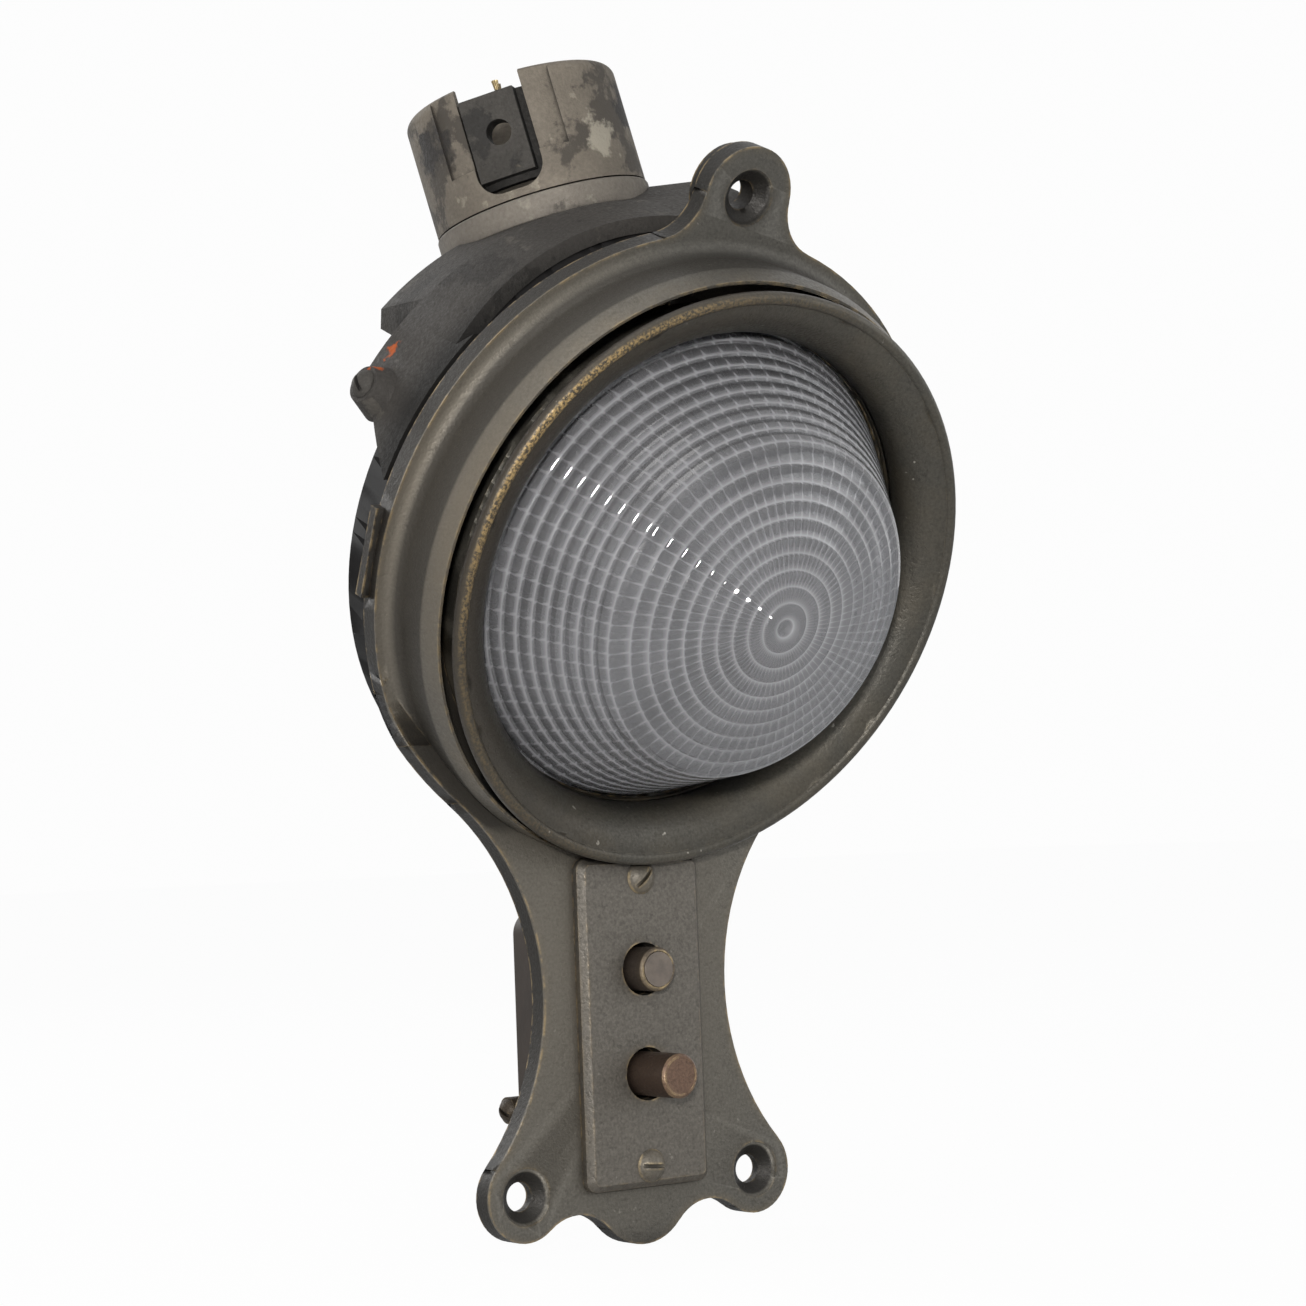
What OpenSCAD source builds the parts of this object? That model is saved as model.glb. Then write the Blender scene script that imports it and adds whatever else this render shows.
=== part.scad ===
// Railway carriage wall lamp with a bent face flange, a prismatic lens and a push-button switch.
// Z is up, the front faces -Y, and the origin lies midway between the two lower
// fixing holes, on the rear face of the flange.

/* [Face flange] */
// Thickness of the flange
flange_t = 5.5; // [4:0.5:8]
// Radius of the round part of the flange
disc_r = 81.5; // [81:0.5:88]
// Height of the round part's centre above the lower holes, along the face
disc_s = 159.5; // [158:0.5:166]
// Forward tilt of the round part, in degrees
disc_tilt = 25.4; // [20:0.2:30]
// Height at which the flange starts to bend
bend_s = 110; // [108:1:112]
// Length of the bend along the face
bend_len = 16; // [12:1:20]
// Width of the neck at its narrowest place
neck_w = 56; // [50:1:60]
// Distance between the two lower fixing holes
hole_gap = 71; // [66:0.5:76]
// Height of the upper fixing hole above the round part's centre
ear_h = 90.5; // [88:0.5:96]
// Radius of the fixing holes
hole_r = 3.6; // [3:0.1:4]
// Radius of the countersinks
sink_r = 7; // [6:0.25:8]
// Radius of the two lower lobes
lobe_r = 11; // [10.5:0.5:12.5]
// Radius of the upper ear
ear_r = 12.5; // [11:0.5:14]
// Extra thickness of the boss behind the upper ear
ear_boss_t = 3; // [2:0.5:4]
// Radius of the fillets between the upper ear and the round part
ear_fillet_r = 13; // [10:0.5:18]
// Radius of the two dips in the lower edge
dip_r = 13; // [11:0.5:15]
// Distance between the two dips
dip_gap = 41; // [39:0.5:43]
// Depth of the lower edge's middle below the fixing holes
belly_drop = 15; // [14:0.5:16]
// Direction of the lug on the rim, in degrees around the round part
rim_lug_turn = 182; // [176:1:188]
// Length of the lug on the rim
rim_lug_l = 22; // [16:1:26]
// How far the lug stands out from the rim
rim_lug_out = 1.6; // [1:0.2:2.4]

/* [Collar and bezel] */
// Radius of the bore in which the bezel turns
neck_bore_r = 66.3; // [66:0.1:67]
// Outer radius of the collar's rim
collar_r = 76.5; // [76:0.25:77.5]
// Height of the collar above the face
collar_h = 17.7; // [16.1:0.2:18.5]
// Thickness of the collar's rim
collar_wall = 2.6; // [2:0.1:3.2]
// Drop of the collar's rim from its inner to its outer edge
rim_drop = 5; // [3:0.5:6]
// Radius of the cove at the collar's foot
cove_r = 4; // [3:0.5:4.5]
// Height of the rolled lip's middle above the face
lip_h = 22.7; // [22.3:0.2:24.1]
// Radius of the rolled lip's middle circle
lip_ring_r = 72.1; // [71.9:0.1:72.2]
// Radius of the lip's bead
lip_bead_r = 1.7; // [1.4:0.1:2]
// Radius of the flare's hollow curve
flare_r = 11.7; // [11:0.1:11.9]
// Wall of the flare
flare_wall = 2.2; // [1.8:0.1:2.4]
// Height of the flat band around the lens
band_h = 1.3; // [1:0.1:1.6]
// Radius of the bead between the band and the flare
bead_r = 1; // [0.8:0.1:1.1]
// Angle through which the bezel turns to come free
bezel_turn = 25; // [20:1:30]
// Lugs that hold the bezel behind the flange
bezel_lugs = 3; // [2:1:4]
// Angle that one lug takes up
lug_angle = 14; // [10:1:18]
// Depth of a lug along the lens axis
lug_t = 2.4; // [1.6:0.2:2.4]

/* [Lens] */
// Radius of the lens at its seat
lens_r = 60.2; // [58:0.2:60.6]
// Height of the lens seat above the face
seat_h = 7; // [6:0.25:8]
// Thickness of the lens flange
lens_flange_t = 3; // [2.5:0.25:3.5]
// Thickness of the lens gasket
lens_gasket_t = 0.9; // [0.6:0.1:1.5]
// Radius where the steep wall meets the domed front
crown_r = 42; // [38:0.5:45]
// Height of the crown's edge above the face
crown_h = 40.5; // [36:0.5:42]
// Height of the lens tip above the face
tip_h = 51; // [49:0.5:54]
// Steps on the steep wall
wall_steps = 9; // [6:1:12]
// Rings on the domed front
crown_rings = 10; // [6:1:12]
// Depth of a step or ring
step_d = 0.7; // [0.4:0.1:1]
// Thickness of the glass
glass_t = 4; // [3.5:0.25:5]
// Flutes around the inside
flutes = 72; // [48:4:80]
// Radius of one flute's rib
flute_r = 0.9; // [0.6:0.1:1.1]
// Radius of the ribs that carry the flutes on under the dome
dome_flute_r = 0.6; // [0.4:0.1:0.8]

/* [Switch] */
// Width of the cover plate
cover_w = 37.3; // [36:0.1:40]
// Length of the cover plate
cover_l = 82; // [80:1:84]
// Thickness of the cover plate
cover_t = 3.5; // [2.5:0.25:4]
// Width of the bevel around the cover plate
cover_bevel = 1.6; // [1:0.2:2]
// Radius of the cover plate's corners
cover_corner_r = 3; // [2.4:0.2:4]
// Height of the switch's middle above the lower holes
switch_s = 40.3; // [38:0.1:42]
// Distance between the two push buttons
button_gap = 26; // [25:0.5:28]
// Radius of a push button
button_r = 5.5; // [4.5:0.1:5.8]
// Travel of a push button
button_travel = 7.5; // [5:0.5:7.5]
// Height of the pressed button above the cover plate
button_low = 6; // [5:0.5:8]
// Distance of a cover screw from the cover plate's end
cover_screw_inset = 5.25; // [5:0.25:7]
// Width of the switch body
body_w = 30; // [28:1:36]
// Length of the switch body
body_l = 56; // [52:1:58]
// Depth of the switch body
body_d = 26.5; // [26.5:0.5:32]
// Distance of the terminals below the switch's middle
terminal_drop = 22; // [14:1:23]
// Length of a terminal's post
terminal_l = 6; // [3:0.5:7]

/* [Lamp can] */
// Outer radius of the can
can_r = 77; // [76.5:0.25:80]
// Depth of the can's straight wall behind the flange
can_wall_d = 15.5; // [14:0.5:17]
// Radius of the can's rear cup
cup_r = 26; // [24:0.5:30]
// Depth of the whole can behind the flange
can_d = 60; // [58:1:66]
// Wall of the can
can_t = 1.6; // [1.2:0.2:2]
// Radius of the lamp socket
socket_r = 19; // [18:0.5:21]
// Radius of the lamp bulb
bulb_r = 21; // [16:0.5:24]

/* [Rear housing and conduit hub] */
// Turn of the housing to the left about the lens axis, in degrees
housing_turn = 11.5; // [0:0.5:20]
// Wall of the housing's hood
hood_t = 3.6; // [3:0.2:4]
// Depth of the hood behind the flange
hood_d = 28; // [26:1:30]
// Height of the box's underside above the lens axis
hood_low = 47.5; // [44:0.5:50]
// Slope of the hood's lower edges, in degrees
hood_slope = 54; // [45:1:60]
// Half the angle of the hood's upper window
window_a = 43.5; // [36:0.5:46]
// Lean of the hood's front edge in the window, in degrees
window_lean = 21; // [12:1:24]
// Width of the box behind the hood
box_w = 98; // [88:1:104]
// Depth of the box behind the hood
box_d = 24; // [20:1:28]
// How much the box's round top narrows to the rear
box_taper = 9; // [4:0.5:12]
// Height of the fairing's right shoulder above the lens axis
shoulder_up = 79.5; // [76:0.5:82]
// Width of the fairing's right shoulder
shoulder_w = 26; // [20:1:30]
// Direction of the side lugs, in degrees above the level
lug_up = 33; // [31:0.5:35]
// Height of the side lugs above the hood
lug_h = 4.5; // [3:0.5:5]
// Outer radius of the conduit hub
hub_r = 27.3; // [26.5:0.1:29]
// Length of the conduit hub
hub_l = 31; // [30:0.5:34]
// Radius of the conduit bore
conduit_r = 20.3; // [19:0.1:21]
// Radius of the wire way under the conduit
wire_way_r = 17; // [14:0.5:18]
// Length of the collar under the hub
hub_collar_l = 7; // [5:0.5:9]
// Distance of the hub's foot inside the radius of the can
hub_inset = 6.4; // [4:0.2:9]
// Distance of the hub's foot behind the hood
hub_set_back = 28.9; // [26:0.1:31]
// Lean of the hub to the left of the housing's middle, in degrees
hub_lean = 2.1; // [0:0.1:5]
// Lean of the hub to the back, from the plane of the round part, in degrees
hub_back = 33; // [28:0.5:36]
// Direction that the hub's slot faces, in degrees to the left of the front
slot_face = 43; // [30:1:55]
// Width of the hub's slot
slot_w = 17; // [15:0.5:18]
// Depth of the hub's slot
slot_l = 29; // [26:0.5:29.5]
// Radius of the corners at the slot's foot
slot_corner_r = 6; // [4:0.5:7]
// Width of the shallow recess around the slot
relief_w = 31; // [26:1:34]
// Length of the shallow recess around the slot
relief_l = 21; // [18:0.5:24]
// Depth of the shallow recess around the slot
relief_d = 0.8; // [0.4:0.1:1]
// Distance of the tapped hole below the hub's top
tap_drop = 14; // [12:0.5:16]
// Radius of the clamp screw's tapped hole
tap_r = 3.2; // [2.6:0.1:3.4]

/* [Hidden] */

bronze = "#5a5146";
brass = "#b08d4a";
copper = "#a5673f";
iron = "#8d877d";
japan = "#26221f";
glass = "#c8ced2";
dark = "#3a302a";

// Clearance between pieces that rest near each other
gap = 0.3;
// Radial clearance of a running or threaded fit
run = 0.05;
// A little more than nothing, for cuts that pass through a face
eps = 0.1;
// How far the hollow curves of an outline stay clear of the round ones that they meet
blend = 0.04;
// Fineness of the round forms
$fn = 96;

// Places that follow from the sizes above
hole_x = hole_gap / 2;
bend_r = bend_len / (disc_tilt * PI / 180);
bend_end_y = -flange_t - bend_r * (1 - cos(disc_tilt));
bend_end_z = bend_s + bend_r * sin(disc_tilt);
disc_rise = disc_s - bend_s - bend_len;
disc_y = bend_end_y - disc_rise * sin(disc_tilt);
disc_z = bend_end_z + disc_rise * cos(disc_tilt);

// The neck's side is one arc that touches the round part and the lobe
neck_k = (neck_w / 2 - disc_r) / (neck_w / 2 - hole_x - lobe_r);
neck_b = 2 * disc_s;
neck_c = disc_r ^ 2 - (neck_w / 2) ^ 2 - disc_s ^ 2
       - neck_k * (lobe_r ^ 2 - (neck_w / 2 - hole_x) ^ 2);
neck_s = (sqrt(neck_b ^ 2 - 4 * (neck_k - 1) * neck_c) - neck_b) / (2 * (neck_k - 1));
neck_r = (disc_r ^ 2 - (neck_w / 2) ^ 2 - (disc_s - neck_s) ^ 2) / (2 * (neck_w / 2 - disc_r));
neck_x = neck_w / 2 + neck_r;

// The dips touch the lobes and the belly
dip_x = dip_gap / 2;
dip_y = -sqrt((lobe_r + dip_r) ^ 2 - (hole_x - dip_x) ^ 2);
belly_y = (dip_x ^ 2 + dip_y ^ 2 - (belly_drop + dip_r) ^ 2) / (2 * (belly_drop + dip_r + dip_y));
belly_r = belly_y + belly_drop;

// The fillets beside the upper ear
ear_fy = ((disc_r + ear_fillet_r) ^ 2 - (ear_r + ear_fillet_r) ^ 2 + ear_h ^ 2) / (2 * ear_h);
ear_fx = sqrt((disc_r + ear_fillet_r) ^ 2 - ear_fy ^ 2);

// Half the width of the flange at a height along the face
function half_width(s) =
    s < disc_touch_s ? neck_x - sqrt(neck_r ^ 2 - (s - neck_s) ^ 2)
                     : sqrt(disc_r ^ 2 - (disc_s - s) ^ 2);
disc_touch_s = disc_s - (disc_s - neck_s) * disc_r / (disc_r + neck_r);

// Bezel and lens
bezel_neck_r = neck_bore_r - gap;
lens_seat_r = bezel_neck_r - 2;
flare_x = lip_ring_r + 0.8;
flare_z = lip_h + lip_bead_r - flare_r - 0.7;
ledge_h = seat_h + lens_gasket_t;
flare_foot_r = flare_x - flare_r;
band_top = ledge_h + band_h;
collar_inner_r = collar_r - collar_wall;

// Switch
plate_top = flange_t + cover_t;
guide_y = 2;
guide_t = 4;
cavity_y = guide_y + guide_t;
stem_collar_t = 1.5;
stem_collar_r = button_r + 0.7;
stem_l = 3.2;
stem_r = 1.2;
rocker_arm = button_gap / 2;
rocker_t = 4;
rocker_swing = asin(button_travel / 2 / rocker_arm);
rocker_gap = 0.6;
rocker_y = cavity_y + gap + stem_collar_t + stem_l + button_travel / 2
         + rocker_t / 2 + rocker_gap;
cavity_d = rocker_y + button_travel / 2 + rocker_t / 2 + 1.2 - cavity_y;
cover_screw_gap = cover_l - 2 * cover_screw_inset;
cover_screw_hole_r = 2.2;
strap_t = 1.6;
strap_w = 24;
strap_screw_x = 9;
strap_screw_s = 17;

// Can and housing
rear_z = -flange_t;
neck_end = rear_z - gap - lug_t;
gasket_t = 1.4;
can_front = rear_z - 2 * gap - gasket_t;
can_wall_end = rear_z - can_wall_d;
can_end = rear_z - can_d;
cup_front = can_end + 12;
hood_r = can_r + gap + hood_t;
hood_end = rear_z - hood_d;
screw_ring_r = (neck_bore_r + can_r) / 2;
hood_front = rear_z - 2.5;
window_foot = hood_r * cos(window_a);
window_z = rear_z - 5;
box_end = hood_end - box_d;
box_t = 4;
hood_back = hood_end + 3;
lug_z = hood_back + 5;
// How far the fairing's ends lie inside the round forms that they grow out of
fairing_bite = 1;
hub_up = can_r - hub_inset;
hub_depth = hood_d + hub_set_back;
hub_collar_r = hub_r + 0.4;
collar_foot = -hub_collar_l - gap;

// Frame of the round part: x right, y up along its face, z forward along the lens axis
module on_disc() {
    translate([0, disc_y, disc_z]) rotate([90 + disc_tilt, 0, 0]) children();
}

// Frame of the switch panel: x right, y up, z forward from the flange's rear face
module on_panel() {
    rotate([90, 0, 0]) children();
}

// Frame of the housing within that of the round part, turned about the lens axis
module on_housing() {
    rotate([0, 0, housing_turn]) children();
}

// Frame of the hub within that of the round part: z along the conduit, origin at the hub's foot
module on_hub() {
    on_housing() translate([0, hub_up, rear_z - hub_depth]) rotate([-90 - hub_back, 0, 0])
        rotate([0, -hub_lean, 0]) rotate([0, 0, -slot_face]) children();
}

module tube(outer, inner, z0, z1) {
    translate([0, 0, z0]) difference() {
        cylinder(r = outer, h = z1 - z0);
        translate([0, 0, -eps]) cylinder(r = inner, h = z1 - z0 + 2 * eps);
    }
}

module mirrored() {
    children();
    mirror([1, 0, 0]) children();
}

// FACE FLANGE
module disc_outline() {
    difference() {
        union() {
            circle(r = disc_r);
            translate([0, ear_h]) circle(r = ear_r);
            polygon([[-ear_fx, ear_fy], [0, 0], [ear_fx, ear_fy], [0, ear_h]]);
        }
        mirrored() translate([ear_fx, ear_fy]) circle(r = ear_fillet_r - blend);
    }
}

module panel_outline() {
    difference() {
        union() {
            translate([0, disc_s]) circle(r = disc_r);
            polygon([[0, disc_s], [neck_x, neck_s], [hole_x, 0], [dip_x, dip_y], [0, belly_y],
                     [-dip_x, dip_y], [-hole_x, 0], [-neck_x, neck_s]]);
            mirrored() translate([hole_x, 0]) circle(r = lobe_r);
            translate([0, belly_y]) circle(r = belly_r);
        }
        mirrored() translate([neck_x, neck_s]) circle(r = neck_r - blend);
        mirrored() translate([dip_x, dip_y]) circle(r = dip_r - blend);
    }
}

// The bend is swept as flat sections, one for each step of the angle. It reaches a little
// into the flat plates at both ends and lies a hair inside their faces.
bend_steps = 8;
bend_bite = 1;
bend_inset = 0.02;
function bend_section(a, s, reach) =
    let (x = half_width(s) - bend_inset,
         near = bend_r + bend_inset,
         far = bend_r + flange_t - bend_inset,
         yc = -flange_t - bend_r)
    [for (q = [[-x, near], [x, near], [x, far], [-x, far]])
        [q[0], yc + q[1] * cos(a) - reach * sin(a), bend_s + q[1] * sin(a) + reach * cos(a)]];
bend_points = concat(
    bend_section(0, bend_s - bend_bite, -bend_bite),
    [for (i = [0 : bend_steps])
        each bend_section(disc_tilt * i / bend_steps, bend_s + bend_len * i / bend_steps, 0)],
    bend_section(disc_tilt, bend_s + bend_len + bend_bite, bend_bite));
module bend() {
    last = 4 * (bend_steps + 2);
    sides = [for (i = [0 : bend_steps + 1]) for (j = [0 : 3])
        [4 * i + j, 4 * i + 4 + j, 4 * i + 4 + (j + 1) % 4, 4 * i + (j + 1) % 4]];
    polyhedron(bend_points, concat([[0, 1, 2, 3]], sides, [[last + 3, last + 2, last + 1, last]]));
}

// Cuts the wide opening that the collar's foot and wall fill
module opened() {
    difference() {
        children();
        on_disc() {
            translate([0, 0, -3 * flange_t]) cylinder(r = neck_bore_r + 3, h = 3 * flange_t + seat_h - 1);
            translate([0, 0, seat_h - 1.5]) cylinder(r = collar_inner_r + 0.6, h = 2 * collar_h);
        }
    }
}

module countersunk_hole(depth) {
    translate([0, 0, -depth - eps]) cylinder(r = hole_r, h = depth + 2 * eps);
    sink_d = flange_t * 0.6;
    translate([0, 0, -sink_d]) cylinder(r1 = hole_r, r2 = sink_r, h = sink_d);
    cylinder(r = sink_r, h = eps);
}

// The collar rises from the face through a hollow cove to a rim that slopes inwards
module collar_profile() {
    foot_r = collar_r - 0.2;
    difference() {
        polygon([[neck_bore_r, -flange_t + eps], [foot_r + cove_r, -flange_t + eps],
                 [foot_r + cove_r, 0], [foot_r, cove_r], [collar_r, collar_h - rim_drop],
                 [collar_inner_r + 0.9, collar_h], [collar_inner_r + 0.3, collar_h],
                 [collar_inner_r, collar_h - 0.4], [collar_inner_r, seat_h],
                 [neck_bore_r, seat_h - 3]]);
        translate([foot_r + cove_r, cove_r]) circle(r = cove_r);
    }
}

// A ring sector around the axis, for the bezel's lugs and the ways that let them through
module ring_sector(outer, inner, z0, z1, angle) {
    intersection() {
        tube(outer, inner, z0, z1);
        translate([0, 0, z0]) linear_extrude(z1 - z0)
            polygon([[0, 0], [2 * outer * cos(angle / 2), -2 * outer * sin(angle / 2)],
                     [2 * outer * cos(angle / 2), 2 * outer * sin(angle / 2)]]);
    }
}

module panel_plate() on_panel() linear_extrude(flange_t) intersection() {
    panel_outline();
    translate([-disc_r, -belly_drop - lobe_r]) square([2 * disc_r, bend_s + belly_drop + lobe_r]);
}

module disc_plate() on_disc() translate([0, 0, -flange_t]) linear_extrude(flange_t) intersection() {
    disc_outline();
    translate([-disc_r, -disc_rise]) square([2 * disc_r, disc_rise + ear_h + ear_r]);
}

module face_flange() color(bronze) difference() {
    union() {
        opened() panel_plate();
        opened() bend();
        opened() disc_plate();
        on_disc() rotate_extrude() collar_profile();
        on_disc() translate([0, ear_h, -flange_t - ear_boss_t]) cylinder(r = ear_r - 1, h = ear_boss_t + eps);
        on_disc() rotate([0, 0, rim_lug_turn]) translate([disc_r - 2, -rim_lug_l / 2, -flange_t])
            cube([rim_lug_out + 2, rim_lug_l, flange_t / 2]);
    }
    on_disc() translate([0, ear_h, 0]) countersunk_hole(flange_t + ear_boss_t);
    mirrored() translate([hole_x, -flange_t, 0]) rotate([90, 0, 0]) countersunk_hole(flange_t);
    on_panel() for (side = [-1, 1]) {
        translate([0, switch_s + side * button_gap / 2, -eps])
            cylinder(r = button_r + 1.1, h = flange_t + 2 * eps);
        translate([0, switch_s + side * cover_screw_gap / 2, -eps])
            cylinder(r = cover_screw_hole_r, h = flange_t + 2 * eps);
    }
    on_disc() for (i = [0 : bezel_lugs - 1]) rotate([0, 0, 90 + bezel_turn + i * 360 / bezel_lugs])
        ring_sector(neck_bore_r + 0.9, neck_bore_r - 1, -flange_t - eps, seat_h, lug_angle + 2);
    on_disc() for (a = can_screw_angles) rotate([0, 0, a]) translate([screw_ring_r, 0, rear_z - eps])
        cylinder(r = 1.6 + run, h = 4 + eps);
}

// BEZEL AND LENS
module bezel_profile() {
    difference() {
        translate([flare_x, flare_z]) circle(r = flare_r);
        translate([flare_x, flare_z]) circle(r = flare_r - flare_wall);
        translate([flare_x, flare_z - 2 * flare_r]) square([2 * flare_r, 5 * flare_r]);
        translate([flare_x - 2 * flare_r, flare_z - 2 * flare_r]) square([5 * flare_r, 2 * flare_r]);
    }
    translate([lip_ring_r, lip_h]) circle(r = lip_bead_r, $fn = 32);
    polygon([[flare_foot_r, ledge_h], [flare_foot_r, band_top], [flare_foot_r + 0.9, band_top + 0.2],
             [flare_foot_r + 0.9, flare_z - 0.2], [flare_foot_r + 0.1, flare_z + eps],
             [flare_foot_r + 0.1, flare_z + 0.5], [flare_foot_r + flare_wall + 0.4, flare_z + 2],
             [bezel_neck_r, flare_z - 1.5], [bezel_neck_r, neck_end], [lens_seat_r, neck_end],
             [lens_seat_r, ledge_h]]);
    translate([flare_foot_r + bead_r, (band_top + flare_z) / 2]) circle(r = bead_r, $fn = 32);
}

// The bezel turns behind the flange on its lugs and comes free where the flange has ways for them
module bezel_ring() color(bronze) on_disc() {
    rotate_extrude() bezel_profile();
    for (i = [0 : bezel_lugs - 1]) rotate([0, 0, 90 + i * 360 / bezel_lugs])
        ring_sector(neck_bore_r + 0.7, lens_seat_r + 0.5, neck_end, rear_z - gap, lug_angle);
}

// Outline of the lens: a stepped steep wall and a ringed dome around a smooth tip
function wall_point(t) = [lens_r + (crown_r - lens_r) * t, seat_h + 2.5 + (crown_h - seat_h - 2.5) * t];
function dome_h(r) = tip_h - (tip_h - crown_h) * (r / crown_r) ^ 2;
wall_line = [for (i = [0 : wall_steps - 1])
    let (a = wall_point(i / wall_steps), b = wall_point((i + 1) / wall_steps))
    each [a, [a[0] + (b[0] - a[0]) * 0.15, b[1] - step_d], [b[0], b[1]]]];
dome_line = [for (i = [0 : crown_rings - 1])
    let (r0 = crown_r * (1 - i / (crown_rings + 1)), r1 = crown_r * (1 - (i + 1) / (crown_rings + 1)))
    each [[r0 - 0.25 * (r0 - r1), dome_h(r0) + step_d * 0.6], [r1, dome_h(r1) - step_d * 0.3]]];

module lens_profile() {
    polygon(concat([[0, seat_h - lens_flange_t], [lens_seat_r - gap, seat_h - lens_flange_t],
                    [lens_seat_r - gap, seat_h], [lens_r, seat_h]],
                   wall_line, dome_line, [[1.5, tip_h - 0.5], [0, tip_h - 0.8]]));
}

module lens_hollow() {
    polygon([[0, seat_h - lens_flange_t - eps], [lens_r - glass_t, seat_h - lens_flange_t - eps],
             [lens_r - glass_t, seat_h], [crown_r - glass_t, crown_h - glass_t],
             [crown_r / 2, dome_h(crown_r / 2) - glass_t - step_d], [0, tip_h - glass_t - 1]]);
}

// Each flute's rib is a six-sided bar that runs along the inside of the glass
module flute_rib(foot, top, r) {
    lean = atan2(foot[0] - top[0], top[1] - foot[1]);
    translate([foot[0], 0, foot[1]]) rotate([0, -lean, 0]) translate([0, 0, r])
        cylinder(r = r, h = norm(top - foot) - 3 * r, $fn = 6);
}

module lens() color(glass, 0.5) on_disc() {
    difference() {
        rotate_extrude() lens_profile();
        rotate_extrude() lens_hollow();
    }
    foot = [lens_r - glass_t, seat_h];
    corner = [crown_r - glass_t, crown_h - glass_t];
    top = [crown_r / 2, dome_h(crown_r / 2) - glass_t - step_d];
    for (i = [0 : flutes - 1]) rotate([0, 0, i * 360 / flutes]) {
        flute_rib(foot, corner, flute_r);
        flute_rib(corner, top, dome_flute_r);
    }
}

module lens_gasket() color(dark) on_disc()
    tube(lens_seat_r - gap, flare_foot_r + 0.6, seat_h + 0.02, ledge_h - 0.02);

module lens_retaining_ring() color(brass) on_disc() {
    z1 = seat_h - lens_flange_t - gap;
    tube(lens_seat_r - run, lens_r - glass_t, z1 - 3, z1);
}

// SWITCH
module cover_outline(inset) {
    x = cover_w / 2 - cover_corner_r;
    y = cover_l / 2 - cover_corner_r;
    reach = cover_corner_r - inset;
    translate([0, switch_s]) {
        for (side = [-1, 1]) for (end = [-1, 1]) translate([side * x, end * y]) circle(r = reach);
        square([2 * x, 2 * (y + reach)], center = true);
        square([2 * (x + reach), 2 * y], center = true);
    }
}

// The plate's upper edge is relieved where the collar's sloping rim hangs over it
module cover_plate() color(bronze) difference() {
    on_panel() union() {
        translate([0, 0, flange_t]) linear_extrude(cover_t - cover_bevel) cover_outline(0);
        hull() {
            translate([0, 0, plate_top - cover_bevel]) linear_extrude(0.01) cover_outline(0, $fn = 32);
            translate([0, 0, plate_top - 0.01]) linear_extrude(0.01) cover_outline(cover_bevel, $fn = 32);
        }
    }
    on_panel() for (side = [-1, 1]) {
        translate([0, switch_s + side * button_gap / 2, flange_t - eps])
            cylinder(r = button_r + 1.1, h = cover_t + 2 * eps);
        translate([0, switch_s + side * cover_screw_gap / 2, flange_t - eps])
            cylinder(r = cover_screw_hole_r, h = cover_t + 2 * eps);
    }
    on_disc() translate([0, 0, collar_h - rim_drop])
        cylinder(r1 = collar_r + gap, r2 = collar_inner_r + 0.9 + gap, h = rim_drop + gap);
}

module round_head(head_r, head_h) {
    intersection() {
        ball_r = (head_r ^ 2 + head_h ^ 2) / (2 * head_h);
        translate([0, 0, head_h - ball_r]) sphere(r = ball_r);
        cylinder(r = head_r, h = head_h);
    }
}

module slotted_screw(head_r, head_h, shank_r, shank_l, turn) {
    difference() {
        union() {
            round_head(head_r, head_h);
            translate([0, 0, -shank_l]) cylinder(r = shank_r, h = shank_l + eps);
        }
        rotate([0, 0, turn]) translate([-head_r, -0.5, head_h * 0.45]) cube([2 * head_r, 1, head_h]);
    }
}

module cover_screws() color(brass) on_panel()
    for (side = [-1, 1]) translate([0, switch_s + side * cover_screw_gap / 2, plate_top + 0.02])
        slotted_screw(4.2, 2.4, 1.9, plate_top + 2, 20 + side * 25);

// A button has a round head, a collar behind its guide and a thin stem to the rocker
module button(face_h) {
    back_z = -cavity_y - gap;
    length = plate_top + button_low + button_travel - back_z;
    translate([0, 0, face_h]) difference() {
        union() {
            translate([0, 0, -length]) cylinder(r = button_r, h = length - 0.6);
            translate([0, 0, -0.6]) cylinder(r1 = button_r, r2 = button_r - 0.6, h = 0.6);
            translate([0, 0, -length - stem_collar_t]) cylinder(r = stem_collar_r, h = stem_collar_t);
            translate([0, 0, -length - stem_collar_t - stem_l]) cylinder(r = stem_r, h = stem_l + eps);
        }
        translate([0, 0, -1]) cylinder(r = button_r - 1.1, h = 1 + eps);
    }
}

button_high = button_low + button_travel;
module upper_button() color(brass) on_panel()
    translate([0, switch_s + button_gap / 2, 0]) button(plate_top + button_low);

module button_inlay() color("#9a938a") on_panel()
    translate([0, switch_s + button_gap / 2, plate_top + button_low - 1 + 0.02])
        cylinder(r = button_r - 1.1 - run, h = 1.1);

module lower_button() color(copper) on_panel() {
    translate([0, switch_s - button_gap / 2, 0]) button(plate_top + button_high);
    translate([0, switch_s - button_gap / 2, plate_top + button_high - 1 - eps])
        cylinder(r = button_r - 1, h = 1);
}

module strap_outline() {
    translate([-strap_w / 2, switch_s - cover_l / 2 + 1]) square([strap_w, cover_l - 2]);
}

module strap_screw_places() {
    for (x = [-1, 1]) for (side = [-1, 1]) translate([x * strap_screw_x, switch_s + side * strap_screw_s, 0])
        children();
}

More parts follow.
